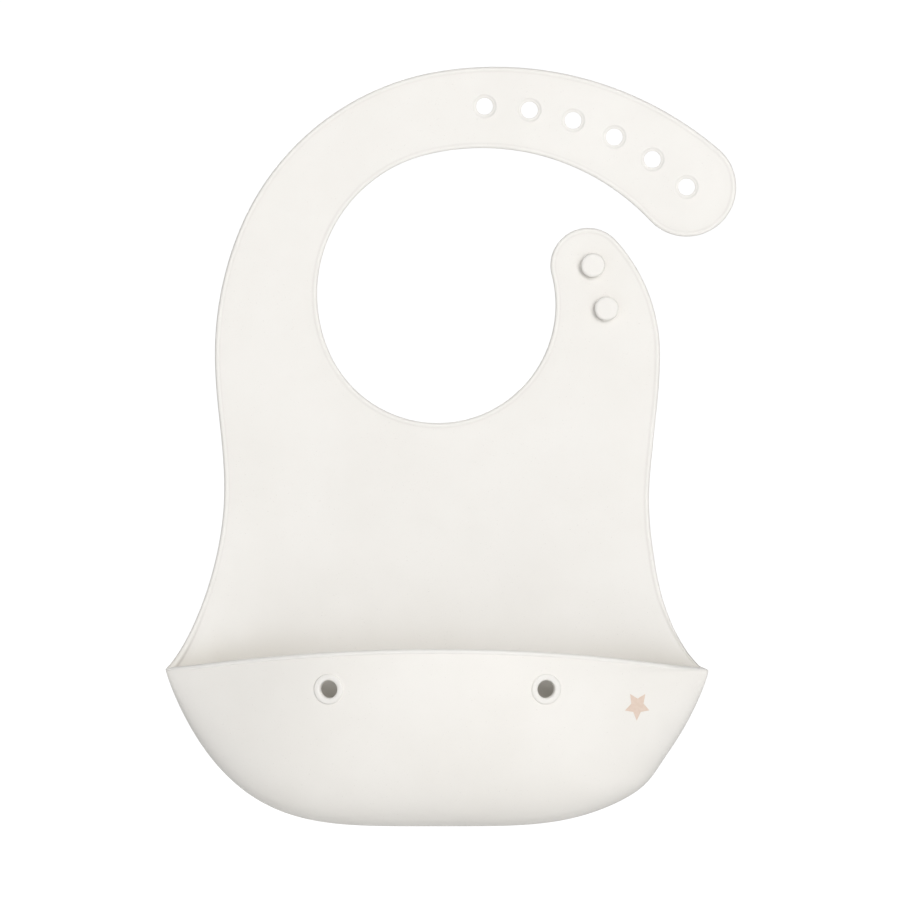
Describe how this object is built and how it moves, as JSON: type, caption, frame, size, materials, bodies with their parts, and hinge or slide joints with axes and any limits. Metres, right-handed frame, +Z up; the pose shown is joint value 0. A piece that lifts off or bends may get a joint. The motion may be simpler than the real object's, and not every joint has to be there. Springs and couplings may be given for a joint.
{
  "type": "silicone bib",
  "caption": "Baby bib of soft silicone sheet with a round neck opening, a long punched strap, a short studded strap and a deep open pocket.",
  "frame": {"origin": "centre of the neck opening, halfway through the sheet", "axes": "+Z up along the bib from pocket to neck, +Y through the sheet towards the wearer, +X to the right as seen from the front"},
  "size_m": [0.232, 0.0447, 0.3088],
  "materials": {
    "sheet": "matte silicone",
    "beads": "matte silicone, rounded edge",
    "pocket": "matte silicone",
    "studs": "matte silicone",
    "collars": "matte silicone",
    "printed_mark": "printed ink"
  },
  "bodies": {
    "upper_chest": {"upper_panel": "sheet", "upper_panel_bead": "beads"},
    "lower_chest": {"middle_panel": "sheet", "middle_panel_beads": "beads"},
    "pocket_base": {"lower_panel": "sheet", "lower_panel_beads": "beads", "pocket_gutter": "pocket", "lip_corner_beads": "beads"},
    "pocket_wall": {"pocket_front": "pocket", "lip_bead": "beads", "left_eyelet_collar": "collars", "right_eyelet_collar": "collars", "printed_star": "printed_mark"},
    "strap_link_1": {"long_strap_1": "sheet", "long_strap_1_beads": "beads"},
    "strap_link_2": {"long_strap_2": "sheet", "long_strap_2_beads": "beads"},
    "strap_link_3": {"long_strap_3": "sheet", "long_strap_3_beads": "beads"},
    "strap_link_4": {"long_strap_4": "sheet", "long_strap_4_beads": "beads"},
    "strap_link_5": {"long_strap_tip": "sheet", "long_strap_tip_bead": "beads"},
    "short_strap_end": {"short_strap": "sheet", "short_strap_bead": "beads", "upper_stud": "studs", "lower_stud": "studs"}
  },
  "joints": [
    {"name": "panel_fold_upper", "type": "hinge", "parent": "upper_chest", "child": "lower_chest", "pos_m": [0, 0, -0.062], "axis": [-1, 0, 0], "range_deg": [-25, 35], "stiffness_Nm_per_rad": 0.2},
    {"name": "panel_fold_lower", "type": "hinge", "parent": "lower_chest", "child": "pocket_base", "pos_m": [0, 0, -0.105], "axis": [-1, 0, 0], "range_deg": [-25, 35], "stiffness_Nm_per_rad": 0.2},
    {"name": "pocket_open", "type": "hinge", "parent": "pocket_base", "child": "pocket_wall", "pos_m": [0, -0.013, -0.213], "axis": [1, 0, 0], "range_deg": [0, 12], "stiffness_Nm_per_rad": 0.4},
    {"name": "long_strap_bend_1", "type": "hinge", "parent": "upper_chest", "child": "strap_link_1", "pos_m": [-0.07037, 0, 0.01725], "axis": [-0.9563, 0, 0.2924], "range_deg": [-10, 28], "stiffness_Nm_per_rad": 0.03},
    {"name": "long_strap_bend_2", "type": "hinge", "parent": "strap_link_1", "child": "strap_link_2", "pos_m": [-0.04377, 0, 0.05618], "axis": [-0.682, 0, 0.7314], "range_deg": [-10, 28], "stiffness_Nm_per_rad": 0.03},
    {"name": "long_strap_bend_3", "type": "hinge", "parent": "strap_link_2", "child": "strap_link_3", "pos_m": [-0.0018, 0, 0.07417], "axis": [-0.2109, 0, 0.9775], "range_deg": [-10, 28], "stiffness_Nm_per_rad": 0.03},
    {"name": "long_strap_bend_4", "type": "hinge", "parent": "strap_link_3", "child": "strap_link_4", "pos_m": [0.04588, 0, 0.07477], "axis": [0.1864, 0, 0.9825], "range_deg": [-10, 28], "stiffness_Nm_per_rad": 0.03},
    {"name": "long_strap_bend_5", "type": "hinge", "parent": "strap_link_4", "child": "strap_link_5", "pos_m": [0.07938, 0, 0.06307], "axis": [0.4656, 0, 0.885], "range_deg": [-10, 28], "stiffness_Nm_per_rad": 0.03},
    {"name": "short_strap_bend", "type": "hinge", "parent": "upper_chest", "child": "short_strap_end", "pos_m": [0.06815, 0, -0.01079], "axis": [-0.9877, 0, 0.1564], "range_deg": [-15, 35], "stiffness_Nm_per_rad": 0.02}
  ],
  "couplings": [
    {"joint": "long_strap_bend_2", "follows": "long_strap_bend_1", "ratio": 1},
    {"joint": "long_strap_bend_3", "follows": "long_strap_bend_1", "ratio": 1},
    {"joint": "long_strap_bend_4", "follows": "long_strap_bend_1", "ratio": 1},
    {"joint": "long_strap_bend_5", "follows": "long_strap_bend_1", "ratio": 1}
  ]
}
